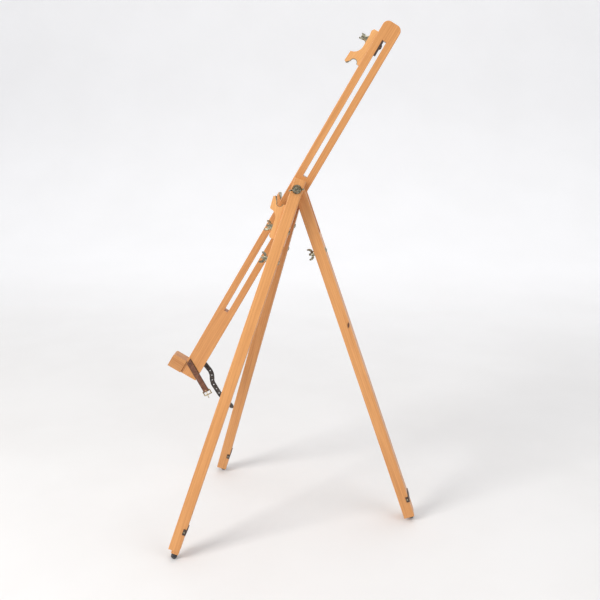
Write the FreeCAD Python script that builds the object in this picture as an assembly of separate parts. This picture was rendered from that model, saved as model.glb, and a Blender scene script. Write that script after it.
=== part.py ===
import FreeCAD, Part
import math
import os

# Folding wooden field easel, in millimetres.
# +Z is up, -X is the painter's side, and the sagittal plane is y = 0.
# The origin is the centre of the easel's footprint, on the ground.
# The head bolt runs along Y and carries the mast, the rear leg and both front legs.

V = FreeCAD.Vector
X_AXIS = V(1, 0, 0)
Y_AXIS = V(0, 1, 0)
Z_AXIS = V(0, 0, 1)

# ---- mast ----
MAST_ABOVE = 401.0            # head bolt to the top end
MAST_BELOW = 534.0            # head bolt to the bottom end
MAST_DEPTH = 42.0             # front to back
MAST_THICK = 22.0             # side to side
MAST_LEAN = 30.8              # top leans back from upright, degrees
MAST_TOP_ROUND = 13.0
SLOT_WIDTH = 10.0             # slots cut from side to side
UPPER_SLOT_LOW = 28.0         # above the head bolt
UPPER_SLOT_END_WALL = 41.0    # wood left above the upper slot
LOWER_SLOT_HIGH = 122.0       # below the head bolt
LOWER_SLOT_LENGTH = 219.0

# ---- legs ----
LEG_DEPTH = 26.0              # front to back
FRONT_LEG_WIDTH = 30.0        # side to side
FRONT_LEG_LENGTH = 866.0      # head bolt to the bottom of the upper section
REAR_LEG_SHORTER = 7.0        # than a front leg, so that all three fold level
LEG_TOP = 20.0                # wood above the head bolt
FRONT_LEAN = 16.6             # feet forward, degrees
FRONT_SPLAY = 12.0            # feet outward, degrees
FRONT_PULL = {"right": 10.0, "left": 0.0}   # how far each lower section is drawn out
WEB = 8.0                     # front wall of the channel
CHANNEL_WIDTH = 16.0
CHANNEL_END_ROOM = 2.0        # channel past the top of a closed lower section
LEG_TRAVEL = 400.0            # how far a lower section can be drawn out
SLIDE_CLEARANCE = 0.3
EDGE_ROUND = 1.6

# ---- fork at the head of the rear leg ----
FORK_CHEEK = 9.5
SIDE_CLEARANCE = 0.3          # beside the mast and beside the fork
FORK_ROOM = 2.5               # past the mast when it stands upright

# ---- feet ----
FOOT_RADIUS = 7.0
FOOT_DROP = 14.0              # rubber below the wood
FOOT_PEG_RADIUS = 4.0
FOOT_PEG_LENGTH = 16.0

# ---- bolts, washers and wing nuts ----
BOLT_RADIUS = 3.0
HEAD_BOLT_RADIUS = 4.0
HOLE_CLEARANCE = 0.3
THREAD_CLEARANCE = 0.05
MUSHROOM_RADIUS = 6.5
MUSHROOM_HEIGHT = 3.0
WASHER_RADIUS = 8.0
WASHER_THICK = 1.6
NUT_HUB_BOTTOM = 6.2
NUT_HUB_TOP = 4.9
NUT_HUB_HEIGHT = 8.0
NUT_WING_SPAN = 28.0
NUT_WING_HEIGHT = 15.0
NUT_WING_THICK = 2.6
HEAD_NUT_SCALE = 1.2
FACE_GAP = 0.1                # between flat faces that turn on each other
BOLT_TIP = 5.0                # thread standing out of a wing nut's hub
FRONT_BOLT_DOWN = 160.0       # head bolt to the bolt that locks a front lower section
REAR_BOLT_DOWN = 155.0
LEG_BOLT_INSET = 25.0         # that bolt below the top of the lower section

# ---- keepers at the foot of each channel ----
KEEPER_THICK = 1.5
KEEPER_HEIGHT = 14.0
KEEPER_UP = 42.0              # above the bottom of the upper section
KEEPER_TAB = 7.0
KEEPER_SCREW_RADIUS = 1.6
KEEPER_SCREW_LENGTH = 5.0

# ---- canvas clamp and box hooks, one outline with two noses ----
HOOK_THICK = 20.0
HOOK_LENGTH = 79.0            # heel to the plain end
HOOK_BOLT_UP = 55.0           # bolt above the heel
HOOK_NECK = 12.0              # thickness under the washer
HOOK_FLARE = 1.5              # the plain end is thicker than the neck
HOOK_REACH = 32.0             # nose out from the face that it is bolted to
HOOK_SHOULDER = 17.0          # outer corner of the nose above the heel
NOSE_TIP = 4.5
CLAMP_NOSE = 7.0              # nose past the heel
BOX_NOSE = 12.0
MOUTH_HEEL = 5.0
MOUTH_RADIUS = 8.0
LINER_THICK = 1.0
LINER_GAP = 0.05
CLAMP_BOLT_UP = 346.0         # top clamp's bolt above the head bolt
BOX_HOOK_BOLT_DOWN = 99.0     # box hook's bolt below the head bolt
SLIDE_PLATE_BELOW = 21.0      # plate below and above its bolt
SLIDE_PLATE_ABOVE = 13.0
SLIDE_PLATE_THICK = 4.0

# ---- canvas rest at the bottom of the mast ----
REST_DEPTH = 35.5
REST_HEIGHT = 33.5
REST_WIDTH = 30.0
REST_ROUND = 5.0              # corner between its front and its ledge
REST_SCREW_RADIUS = 2.2
REST_SCREW_LENGTH = 54.0
REST_SCREW_HEAD = 4.2
REST_SCREW_SINK = 3.0          # depth of its countersunk head

# ---- straps that tie the folded easel ----
BUCKLE_STRAP_WIDTH = 14.5
PUNCHED_STRAP_WIDTH = 12.0
STRAP_THICK = 2.2
STRAP_TAIL = 6.5              # leather past the nail
BUCKLE_STRAP_ROOT = (-11.5, 32.3)   # nail behind the mast's centre line, and above its bottom end
BUCKLE_STRAP_LENGTH = 86.0
BUCKLE_STRAP_SAG = 31.0       # strap below square to the mast, degrees
PUNCHED_STRAP_ROOT = (-3.3, 50.1)
PUNCHED_STRAP_SAG = 22.3
PUNCHED_STRAP_BENDS = ((43.0, 36.4), (7.5, -29.5), (25.6, -12.4))   # run, then turn in degrees
PUNCHED_STRAP_END_RUN = 44.0
STRAP_BEND_RADIUS = 30.0
NAIL_RADIUS = 1.5
NAIL_LENGTH = 9.0
NAIL_HEAD_RADIUS = 2.4
NAIL_HEAD_HEIGHT = 0.8
BUCKLE_WIDTH = 18.5
BUCKLE_HEIGHT = 10.0
BUCKLE_WIRE = 1.25
TONGUE_WIRE = 0.9
TONGUE_OVERHANG = 6.0
TONGUE_POINT = 1.2
TONGUE_LIFT = 28.0            # tongue turned out from the frame, degrees
LOOP_WALL = 1.1               # leather folded round the buckle's bar
LOOP_TAPER = 7.0
TONGUE_NOTCH = 2.8            # slit in the fold that the tongue stands in
TONGUE_ROOM = 0.4             # around the tongue's eye, in the slit

# ---- worked out from the sizes above ----
REAR_LEG_LENGTH = FRONT_LEG_LENGTH - REAR_LEG_SHORTER
FORK_HALF = MAST_THICK / 2 + SIDE_CLEARANCE
FORK_OUTER = FORK_HALF + FORK_CHEEK
REAR_LEG_WIDTH = 2 * FORK_OUTER
FRONT_INNER = FORK_OUTER + SIDE_CLEARANCE
SPLAY_COS = math.cos(math.radians(FRONT_SPLAY))
SPLAY_TAN = math.tan(math.radians(FRONT_SPLAY))
PAD_CUT = LEG_TOP * SPLAY_TAN
FRONT_CENTRE = FRONT_INNER + FRONT_LEG_WIDTH / 2 / SPLAY_COS - PAD_CUT
HEAD_WASHER_RADIUS = WASHER_RADIUS * HEAD_NUT_SCALE
SEAT_DEPTH = (HEAD_WASHER_RADIUS + 1.0) * SPLAY_TAN + 0.4
HEAD_SEAT = FRONT_CENTRE + FRONT_LEG_WIDTH / 2 / SPLAY_COS - SEAT_DEPTH
CHANNEL_FLOOR = -LEG_DEPTH / 2 + WEB
FOOT_BACK = (CHANNEL_FLOOR + LEG_DEPTH / 2) / 2     # foot behind the leg's own centre line
TONGUE_EYE = BUCKLE_WIRE + THREAD_CLEARANCE + TONGUE_WIRE * 1.6


def foot_reach(length, pull):
    """Distance along a leg from the head bolt to the centre of the round foot."""
    return length + pull + FOOT_DROP - FOOT_RADIUS


HEAD_HEIGHT = (foot_reach(FRONT_LEG_LENGTH, FRONT_PULL["left"]) * SPLAY_COS
               * math.cos(math.radians(FRONT_LEAN))
               + FOOT_BACK * math.sin(math.radians(FRONT_LEAN)) + FOOT_RADIUS)


def lean_to_stand(reach, forward):
    """Turn about +Y, in degrees, that puts a foot with this upright reach on the ground."""
    far = math.hypot(reach, FOOT_BACK)
    swing = math.degrees(math.acos((HEAD_HEIGHT - FOOT_RADIUS) / far))
    offset = math.degrees(math.atan2(FOOT_BACK, reach))
    return offset + swing if forward else offset - swing


REAR_LEAN = -lean_to_stand(foot_reach(REAR_LEG_LENGTH, 0.0), False)
FORK_DEPTH = ((MAST_DEPTH / 2 + LEG_DEPTH / 2 * math.cos(math.radians(REAR_LEAN)) + FORK_ROOM)
              / math.sin(math.radians(REAR_LEAN)))


# ---- small helpers ----
def block(x0, x1, y0, y1, z0, z1):
    """Box between two corners."""
    return Part.makeBox(x1 - x0, y1 - y0, z1 - z0, V(x0, y0, z0))


def rod(radius, start, direction, length):
    """Round bar."""
    return Part.makeCylinder(radius, length, start, direction)


def round_along(shape, direction, radius, keep=lambda point: True):
    """Round the straight edges that run along a direction."""
    chosen = []
    for edge in shape.Edges:
        run = edge.Vertexes[-1].Point.sub(edge.Vertexes[0].Point)
        if run.Length > 1e-6 and abs(abs(run.normalize().dot(direction)) - 1) < 1e-6:
            if keep(edge.CenterOfMass):
                chosen.append(edge)
    return shape.makeFillet(radius, chosen)


def profile_solid(points, thick):
    """Closed outline in the XZ plane, spread evenly about y = 0.

    A point is (x, z); an entry of three points is an arc through the second one."""
    edges = []
    here = points[0]
    for entry in points[1:] + [points[0]]:
        if len(entry) == 3:
            there = entry[2]
            arc = Part.Arc(V(here[0], 0, here[1]), V(entry[1][0], 0, entry[1][1]),
                           V(there[0], 0, there[1]))
            edges.append(arc.toShape())
        else:
            there = entry
            edges.append(Part.LineSegment(V(here[0], 0, here[1]), V(there[0], 0, there[1])).toShape())
        here = there
    solid = Part.Face(Part.Wire(edges)).extrude(V(0, thick, 0))
    solid.translate(V(0, -thick / 2, 0))
    return solid


def turn(axis, degrees):
    return FreeCAD.Placement(V(0, 0, 0), FreeCAD.Rotation(axis, degrees))


def move(x, y, z):
    return FreeCAD.Placement(V(x, y, z), FreeCAD.Rotation())


def put(shape, placement):
    """A copy of the shape carried by a placement."""
    return shape.transformed(placement.toMatrix(), True)


# ---- standard pieces, each built along +Z from z = 0 ----
def wing_nut(bolt_radius, scale):
    """Hub with two raised wings; its seat is at z = 0."""
    hub = Part.makeCone(NUT_HUB_BOTTOM * scale, NUT_HUB_TOP * scale, NUT_HUB_HEIGHT * scale)
    half = NUT_WING_SPAN / 2 * scale
    top = NUT_WING_HEIGHT * scale
    root = NUT_HUB_TOP * scale * 0.6
    outline = [(root, 0.22 * top), (0.62 * half, 0.2 * top),
               ((0.62 * half, 0.2 * top), (0.93 * half, 0.5 * top), (half, 0.86 * top)),
               ((half, 0.86 * top), (0.93 * half, top), (0.78 * half, 0.97 * top)),
               ((0.78 * half, 0.97 * top), (0.62 * half, 0.66 * top), (root, 0.5 * top))]
    wing = profile_solid(outline, NUT_WING_THICK * scale)
    other = put(wing, turn(Z_AXIS, 180))
    nut = hub.fuse(wing).fuse(other).removeSplitter()
    bore = rod(bolt_radius + THREAD_CLEARANCE, V(0, 0, -1), Z_AXIS, NUT_WING_HEIGHT * scale + 2)
    return nut.cut(bore)


def washer(bolt_radius, radius):
    """Flat ring."""
    ring = rod(radius, V(0, 0, 0), Z_AXIS, WASHER_THICK)
    return ring.cut(rod(bolt_radius + HOLE_CLEARANCE, V(0, 0, -1), Z_AXIS, WASHER_THICK + 2))


def mushroom_bolt(radius, shank, head_scale):
    """Coach bolt: a domed head below z = 0 and a shank above it."""
    rim = MUSHROOM_RADIUS * head_scale
    dome = MUSHROOM_HEIGHT * head_scale
    sphere_radius = (rim * rim + dome * dome) / (2 * dome)
    ball = Part.makeSphere(sphere_radius, V(0, 0, sphere_radius - dome))
    head = ball.common(block(-rim, rim, -rim, rim, -dome, 0))
    tip = Part.makeCone(radius, radius * 0.75, radius * 0.4, V(0, 0, shank - radius * 0.4))
    return head.fuse(rod(radius, V(0, 0, 0), Z_AXIS, shank - radius * 0.4)).fuse(tip).removeSplitter()


def hook(nose):
    """Canvas clamp: bolted face at x = 0, nose towards -X, round mouth down, bolt at z = 0."""
    heel = -HOOK_BOLT_UP
    end = HOOK_LENGTH - HOOK_BOLT_UP
    tip = heel - nose
    shoulder = (-HOOK_REACH + 1.5, heel + HOOK_SHOULDER)
    mouth = -MOUTH_HEEL - MOUTH_RADIUS
    outline = [(0, heel), (-MOUTH_HEEL, heel),
               ((-MOUTH_HEEL, heel), (mouth, heel + MOUTH_RADIUS), (mouth - MOUTH_RADIUS, heel)),
               (-HOOK_REACH + NOSE_TIP, tip), (-HOOK_REACH, tip + 1.2), shoulder,
               (shoulder, (-HOOK_NECK - 6.5, heel + 23.0), (-HOOK_NECK, heel + 38.0)),
               (-HOOK_NECK, WASHER_RADIUS + 1), (-HOOK_NECK - HOOK_FLARE, end - 5),
               (-HOOK_NECK + 2.5, end), (0, end)]
    solid = profile_solid(outline, HOOK_THICK)
    hole = rod(BOLT_RADIUS + HOLE_CLEARANCE, V(1, 0, 0), V(-1, 0, 0), HOOK_REACH + 2)
    return solid.cut(hole)


def hook_liner(nose):
    """Bent steel strip that lines the mouth of a hook from heel to nose, with a tooth at its end."""
    heel = -HOOK_BOLT_UP
    tip = heel - nose
    mouth = -MOUTH_HEEL - MOUTH_RADIUS
    outer = MOUTH_RADIUS - LINER_GAP
    inner = outer - LINER_THICK
    lip = -HOOK_REACH + NOSE_TIP + LINER_GAP
    outline = [(mouth + outer, heel),
               ((mouth + outer, heel), (mouth, heel + outer), (mouth - outer, heel)),
               (lip, tip), (lip - 2.0, tip - LINER_THICK), (lip + 2.6, tip - LINER_THICK),
               (mouth - inner, heel),
               ((mouth - inner, heel), (mouth, heel + inner), (mouth + inner, heel))]
    return profile_solid(outline, HOOK_THICK - 3)


# ---- where each piece of the easel is carried ----
HEAD_PLACE = move(0, 0, HEAD_HEIGHT)
MAST_PLACE = HEAD_PLACE.multiply(turn(Y_AXIS, MAST_LEAN))
SIDES = {"right": -1, "left": 1}
FRONT_LEANS = {side: lean_to_stand(foot_reach(FRONT_LEG_LENGTH, FRONT_PULL[side]) * SPLAY_COS, True)
               for side in SIDES}


def front_place(side):
    """Placement of a front leg's own frame: head bolt at its origin, -Z down the leg."""
    swing = HEAD_PLACE.multiply(turn(Y_AXIS, FRONT_LEANS[side]))
    out = swing.multiply(move(0, SIDES[side] * FRONT_CENTRE, 0))
    return out.multiply(turn(X_AXIS, SIDES[side] * FRONT_SPLAY))


REAR_PLACE = HEAD_PLACE.multiply(turn(Y_AXIS, -REAR_LEAN))

nodes = {}


# ---- mast and canvas rest ----
def mast():
    """Bar with two slots cut from side to side and a groove from its front edge into each."""
    half = MAST_DEPTH / 2
    side = MAST_THICK / 2
    bar = block(-half, half, -side, side, -MAST_BELOW, MAST_ABOVE)
    bar = round_along(bar, Y_AXIS, MAST_TOP_ROUND, lambda point: point.z > 0)
    bar = round_along(bar, Z_AXIS, EDGE_ROUND)
    groove = BOLT_RADIUS + HOLE_CLEARANCE
    spans = [(UPPER_SLOT_LOW, MAST_ABOVE - UPPER_SLOT_END_WALL),
             (-LOWER_SLOT_HIGH - LOWER_SLOT_LENGTH, -LOWER_SLOT_HIGH)]
    for low, high in spans:
        bar = bar.cut(block(-SLOT_WIDTH / 2, SLOT_WIDTH / 2, -side - 1, side + 1, low, high))
        bar = bar.cut(block(-half - 1, 0, -groove, groove, low, high))
    bar = bar.cut(rod(HEAD_BOLT_RADIUS + HOLE_CLEARANCE, V(0, -side - 1, 0), Y_AXIS, 2 * side + 2))
    for height in rest_screw_heights():
        start = V(-half - 1, 0, height)
        bar = bar.cut(rod(REST_SCREW_RADIUS, start, X_AXIS, REST_SCREW_LENGTH - REST_DEPTH + 1))
    for direction, root in ((-1, BUCKLE_STRAP_ROOT), (1, PUNCHED_STRAP_ROOT)):
        bar = bar.cut(rod(NAIL_RADIUS, V(root[0], direction * side, root[1] - MAST_BELOW),
                          V(0, -direction, 0), NAIL_LENGTH - STRAP_THICK))
    return bar


def rest_screw_heights():
    """Heights of the two screws that hold the canvas rest, in the mast's frame."""
    return [-MAST_BELOW + REST_HEIGHT * share for share in (0.28, 0.62)]


def canvas_rest():
    """Block across the front of the mast's foot. A canvas stands on its upper face, the ledge."""
    back = -MAST_DEPTH / 2
    low = -MAST_BELOW
    high = low + REST_HEIGHT
    solid = block(back - REST_DEPTH, back, -REST_WIDTH / 2, REST_WIDTH / 2, low, high)
    solid = round_along(solid, Y_AXIS, REST_ROUND, lambda point: point.x < back - 1 and point.z > high - 1)
    for height in rest_screw_heights():
        solid = solid.cut(rest_screw(height))
    return solid


def rest_screw(height):
    """Countersunk wood screw from the front of the canvas rest into the mast."""
    front = V(-MAST_DEPTH / 2 - REST_DEPTH, 0, height)
    shank = rod(REST_SCREW_RADIUS, front, X_AXIS, REST_SCREW_LENGTH)
    head = Part.makeCone(REST_SCREW_HEAD, REST_SCREW_RADIUS, REST_SCREW_SINK, front, X_AXIS)
    return head.fuse(shank).removeSplitter()


nodes["mast"] = put(mast(), MAST_PLACE)
nodes["canvas_rest"] = put(canvas_rest(), MAST_PLACE)
nodes["canvas_rest_screws"] = put(
    Part.makeCompound([rest_screw(height) for height in rest_screw_heights()]), MAST_PLACE)


# ---- top canvas clamp ----
def to_front(x, z):
    """Placement that turns a +Z piece to point forward from a point of the XZ plane."""
    return move(x, 0, z).multiply(turn(Y_AXIS, -90))


def top_clamp():
    front = -MAST_DEPTH / 2
    seat = front - FACE_GAP
    slot_front = -SLOT_WIDTH / 2 + FACE_GAP
    plate = block(slot_front, slot_front + SLIDE_PLATE_THICK, -MAST_THICK / 2 + 1, MAST_THICK / 2 - 1,
                  CLAMP_BOLT_UP - SLIDE_PLATE_BELOW, CLAMP_BOLT_UP + SLIDE_PLATE_ABOVE)
    head_seat = slot_front + SLIDE_PLATE_THICK
    plate = plate.cut(rod(BOLT_RADIUS + HOLE_CLEARANCE, V(head_seat + 1, 0, CLAMP_BOLT_UP),
                          V(-1, 0, 0), SLIDE_PLATE_THICK + 2))
    washer_seat = seat - HOOK_NECK - FACE_GAP
    nut_seat = washer_seat - WASHER_THICK - FACE_GAP
    shank = head_seat - nut_seat + NUT_HUB_HEIGHT + BOLT_TIP
    nodes["top_clamp"] = put(hook(CLAMP_NOSE), MAST_PLACE.multiply(move(seat, 0, CLAMP_BOLT_UP)))
    nodes["top_clamp_liner"] = put(hook_liner(CLAMP_NOSE),
                                   MAST_PLACE.multiply(move(seat, 0, CLAMP_BOLT_UP)))
    nodes["top_clamp_slide_plate"] = put(plate, MAST_PLACE)
    nodes["top_clamp_bolt"] = put(mushroom_bolt(BOLT_RADIUS, shank, 1.0),
                                  MAST_PLACE.multiply(to_front(head_seat, CLAMP_BOLT_UP)))
    nodes["top_clamp_washer"] = put(washer(BOLT_RADIUS, WASHER_RADIUS),
                                    MAST_PLACE.multiply(to_front(washer_seat, CLAMP_BOLT_UP)))
    spin = turn(Z_AXIS, 62)
    nodes["top_clamp_wing_nut"] = put(
        wing_nut(BOLT_RADIUS, 1.0), MAST_PLACE.multiply(to_front(nut_seat, CLAMP_BOLT_UP)).multiply(spin))


top_clamp()


# ---- legs ----
def upper_section(width, length, bolt_down, rounded_top):
    """Leg bar with a channel open at the back and a bolt slot through its front wall."""
    half = LEG_DEPTH / 2
    side = width / 2
    bar = block(-half, half, -side, side, -length, LEG_TOP)
    if rounded_top:
        bar = round_along(bar, Y_AXIS, LEG_DEPTH * 0.42, lambda point: point.z > 0)
    bar = round_along(bar, Z_AXIS, EDGE_ROUND)
    channel = CHANNEL_WIDTH / 2
    bar = bar.cut(block(CHANNEL_FLOOR, half + 1, -channel, channel, -length - 1,
                        -bolt_down + LEG_BOLT_INSET + CHANNEL_END_ROOM))
    slot = BOLT_RADIUS + HOLE_CLEARANCE
    return bar.cut(block(-half - 1, CHANNEL_FLOOR + 1, -slot, slot,
                         -bolt_down - LEG_TRAVEL - slot, -bolt_down + slot))


def lower_section(length, bolt_down, pull):
    """Square bar that slides in the channel, with a bolt hole near its top."""
    bottom = -length - pull
    top = -bolt_down + LEG_BOLT_INSET - pull
    half = CHANNEL_WIDTH / 2 - SLIDE_CLEARANCE
    back = LEG_DEPTH / 2 - SLIDE_CLEARANCE
    bar = block(CHANNEL_FLOOR + SLIDE_CLEARANCE, back, -half, half, bottom, top)
    bar = round_along(bar, Z_AXIS, 1.0)
    bar = bar.cut(rod(BOLT_RADIUS + HOLE_CLEARANCE, V(back + 1, 0, -bolt_down - pull), V(-1, 0, 0),
                      LEG_DEPTH))
    return bar.cut(rod(FOOT_PEG_RADIUS, V(FOOT_BACK, 0, bottom - 1), Z_AXIS, FOOT_PEG_LENGTH + 1))


def foot(length, pull):
    """Rubber tip with a round end and a peg that fills the hole in the wood."""
    bottom = -length - pull
    centre = V(FOOT_BACK, 0, bottom - FOOT_DROP + FOOT_RADIUS)
    ball = Part.makeSphere(FOOT_RADIUS, centre)
    above = block(-40, 40, -40, 40, bottom, bottom + 40)
    collar = rod(FOOT_RADIUS, V(FOOT_BACK, 0, bottom - FOOT_DROP + FOOT_RADIUS), Z_AXIS,
                 FOOT_DROP - FOOT_RADIUS)
    peg = rod(FOOT_PEG_RADIUS, V(FOOT_BACK, 0, bottom), Z_AXIS, FOOT_PEG_LENGTH)
    return ball.cut(above).fuse(collar).fuse(peg).removeSplitter()


def keeper(width, length):
    """Steel clip across the open back of the channel, turned down over both cheeks."""
    back = LEG_DEPTH / 2
    side = width / 2
    low = -length + KEEPER_UP
    outer = block(back - KEEPER_TAB, back + KEEPER_THICK, -side - KEEPER_THICK, side + KEEPER_THICK,
                  low, low + KEEPER_HEIGHT)
    clip = outer.cut(block(back - KEEPER_TAB - 1, back, -side, side, low - 1, low + KEEPER_HEIGHT + 1))
    for screw in keeper_screws(width, length):
        clip = clip.cut(screw)
    return clip


def keeper_screws(width, length):
    """One small screw through each tab of the keeper."""
    level = -length + KEEPER_UP + KEEPER_HEIGHT / 2
    screws = []
    for direction in (-1, 1):
        face = V(LEG_DEPTH / 2 - KEEPER_TAB / 2, direction * (width / 2 + KEEPER_THICK), level)
        shank = rod(KEEPER_SCREW_RADIUS, face, V(0, -direction, 0), KEEPER_SCREW_LENGTH)
        head = Part.makeSphere(KEEPER_SCREW_RADIUS * 1.6, face)
        head = head.common(block(-40, 40, *sorted((face.y, face.y + direction * 9)),
                                 level - 9, level + 9))
        screws.append(shank.fuse(head).removeSplitter())
    return screws


def leg_lock(name, place, bolt_down, pull, spin):
    """Bolt, washer and wing nut that lock a lower section in its channel."""
    back = LEG_DEPTH / 2 - SLIDE_CLEARANCE
    front = -LEG_DEPTH / 2
    level = -bolt_down - pull
    washer_seat = front - FACE_GAP
    nut_seat = washer_seat - WASHER_THICK - FACE_GAP
    shank = back - nut_seat + NUT_HUB_HEIGHT + BOLT_TIP
    nodes[name + "_bolt"] = put(mushroom_bolt(BOLT_RADIUS, shank, 1.0),
                                place.multiply(to_front(back, level)))
    nodes[name + "_washer"] = put(washer(BOLT_RADIUS, WASHER_RADIUS),
                                  place.multiply(to_front(washer_seat, level)))
    nodes[name + "_wing_nut"] = put(wing_nut(BOLT_RADIUS, 1.0),
                                    place.multiply(to_front(nut_seat, level)).multiply(turn(Z_AXIS, spin)))


def leg_pieces(name, width, length, bolt_down, pull, place, upper, spin):
    """Everything on one leg but the hook."""
    for screw in keeper_screws(width, length):
        upper = upper.cut(screw)
    nodes[name + "_upper"] = put(upper, place)
    nodes[name + "_lower"] = put(lower_section(length, bolt_down, pull), place)
    nodes[name + "_foot"] = put(foot(length, pull), place)
    nodes[name + "_keeper"] = put(keeper(width, length), place)
    nodes[name + "_keeper_screws"] = put(Part.makeCompound(keeper_screws(width, length)), place)
    leg_lock(name, place, bolt_down, pull, spin)


def front_leg(side, spin):
    """Front leg with its flat pad at the head, its seat for the washer and its bolt holes."""
    sign = SIDES[side]
    name = side + "_leg"
    place = front_place(side)
    bar = upper_section(FRONT_LEG_WIDTH, FRONT_LEG_LENGTH, FRONT_BOLT_DOWN, False)
    bar = bar.cut(rod(BOLT_RADIUS + HOLE_CLEARANCE, V(LEG_DEPTH, 0, -BOX_HOOK_BOLT_DOWN), V(-1, 0, 0),
                      2 * LEG_DEPTH))
    splayed = move(0, sign * FRONT_CENTRE, 0).multiply(turn(X_AXIS, sign * FRONT_SPLAY))
    bar = put(bar, splayed)
    inside = sorted((sign * FRONT_INNER, -sign * 3 * FRONT_LEG_WIDTH))
    bar = bar.cut(block(-LEG_DEPTH, LEG_DEPTH, inside[0], inside[1], -3 * LEG_DEPTH, 2 * LEG_TOP))
    bar = bar.cut(rod(HEAD_BOLT_RADIUS + HOLE_CLEARANCE, V(0, 0, 0), V(0, sign, 0), 200))
    bar = bar.cut(rod(HEAD_WASHER_RADIUS + 1.0, V(0, sign * HEAD_SEAT, 0), V(0, sign, 0), 60))
    bar = put(bar, splayed.inverse())
    leg_pieces(name, FRONT_LEG_WIDTH, FRONT_LEG_LENGTH, FRONT_BOLT_DOWN, FRONT_PULL[side], place, bar,
               spin)


def rear_leg():
    """Rear leg, forked at the head to straddle the mast."""
    bar = upper_section(REAR_LEG_WIDTH, REAR_LEG_LENGTH, REAR_BOLT_DOWN, True)
    bar = bar.cut(block(-LEG_DEPTH, LEG_DEPTH, -FORK_HALF, FORK_HALF, -FORK_DEPTH, LEG_TOP + 1))
    bar = bar.cut(rod(HEAD_BOLT_RADIUS + HOLE_CLEARANCE, V(0, -50, 0), Y_AXIS, 100))
    leg_pieces("rear_leg", REAR_LEG_WIDTH, REAR_LEG_LENGTH, REAR_BOLT_DOWN, 0.0, REAR_PLACE, bar, 28)


front_leg("right", 25)
front_leg("left", 70)
rear_leg()


# ---- box hooks on the front legs ----
def box_hook(side, spin):
    """Hook with its mouth up, bolted to the front of a leg."""
    name = side + "_box_hook"
    place = front_place(side)
    seat = -LEG_DEPTH / 2 - FACE_GAP
    level = -BOX_HOOK_BOLT_DOWN
    flipped = place.multiply(move(seat, 0, level)).multiply(turn(X_AXIS, 180))
    washer_seat = seat - HOOK_NECK - FACE_GAP
    nut_seat = washer_seat - WASHER_THICK - FACE_GAP
    back = LEG_DEPTH / 2
    shank = back - nut_seat + NUT_HUB_HEIGHT + BOLT_TIP
    nodes[name] = put(hook(BOX_NOSE), flipped)
    nodes[name + "_liner"] = put(hook_liner(BOX_NOSE), flipped)
    nodes[name + "_bolt"] = put(mushroom_bolt(BOLT_RADIUS, shank, 1.0),
                                place.multiply(to_front(back, level)))
    nodes[name + "_washer"] = put(washer(BOLT_RADIUS, WASHER_RADIUS),
                                  place.multiply(to_front(washer_seat, level)))
    nodes[name + "_wing_nut"] = put(wing_nut(BOLT_RADIUS, 1.0),
                                    place.multiply(to_front(nut_seat, level)).multiply(turn(Z_AXIS, spin)))


box_hook("right", 35)
box_hook("left", 80)


# ---- head bolt ----
def head_bolt():
    """Bolt through both front legs, the fork and the mast, with its wing nut on the right."""
    to_right = move(0, HEAD_SEAT + FACE_GAP, 0).multiply(turn(X_AXIS, 90))
    nut_seat = HEAD_SEAT + FACE_GAP + WASHER_THICK + FACE_GAP
    shank = HEAD_SEAT + FACE_GAP + nut_seat + NUT_HUB_HEIGHT * HEAD_NUT_SCALE + BOLT_TIP
    bolt = mushroom_bolt(HEAD_BOLT_RADIUS, shank, HEAD_NUT_SCALE)
    nodes["head_bolt"] = put(bolt, HEAD_PLACE.multiply(to_right))
    seat = HEAD_PLACE.multiply(move(0, -HEAD_SEAT - FACE_GAP, 0)).multiply(turn(X_AXIS, 90))
    nodes["head_washer"] = put(washer(HEAD_BOLT_RADIUS, HEAD_WASHER_RADIUS), seat)
    nut = wing_nut(HEAD_BOLT_RADIUS, HEAD_NUT_SCALE)
    lift = seat.multiply(move(0, 0, WASHER_THICK + FACE_GAP)).multiply(turn(Z_AXIS, 6))
    nodes["head_wing_nut"] = put(nut, lift)


head_bolt()


# ---- straps ----
def strap_place(side, root, sag):
    """Frame of a strap on one side of the mast: +X along the strap, nail at the origin."""
    nail = move(root[0], side * MAST_THICK / 2, root[1] - MAST_BELOW)
    return MAST_PLACE.multiply(nail).multiply(turn(Y_AXIS, sag))


def ribbon_line(bends, end_run):
    """Centre line in the XZ plane: each straight run is followed by an arc that turns it down."""
    here = V(-STRAP_TAIL, 0, 0)
    heading = 0.0
    edges = []
    for run, bend in bends + ((end_run, 0.0),):
        along = V(math.cos(heading), 0, -math.sin(heading))
        corner = here.add(along * (run + (STRAP_TAIL if not edges else 0.0)))
        edges.append(Part.LineSegment(here, corner).toShape())
        here = corner
        if bend:
            side = math.copysign(1.0, bend)
            centre = here.add(V(-math.sin(heading), 0, -math.cos(heading)) * side * STRAP_BEND_RADIUS)
            stops = []
            for share in (0.5, 1.0):
                angle = heading + math.radians(bend) * share
                out = V(math.sin(angle), 0, math.cos(angle)) * side * STRAP_BEND_RADIUS
                stops.append(centre.add(out))
            edges.append(Part.Arc(here, stops[0], stops[1]).toShape())
            here = stops[1]
            heading += math.radians(bend)
    return edges


def strap_body(side, centre_line, width):
    """Flat strip about a centre line, against the mast, with its nail hole."""
    low, high = sorted((0.0, side * STRAP_THICK))
    half = width / 2
    section = Part.makePolygon([V(-STRAP_TAIL, low, -half), V(-STRAP_TAIL, high, -half),
                                V(-STRAP_TAIL, high, half), V(-STRAP_TAIL, low, half),
                                V(-STRAP_TAIL, low, -half)])
    strip = Part.Wire(centre_line).makePipeShell([section], True, True)
    nail = rod(NAIL_RADIUS, V(0, side * STRAP_THICK * 2, 0), V(0, -side, 0), STRAP_THICK * 3)
    return strip.cut(nail)


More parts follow.
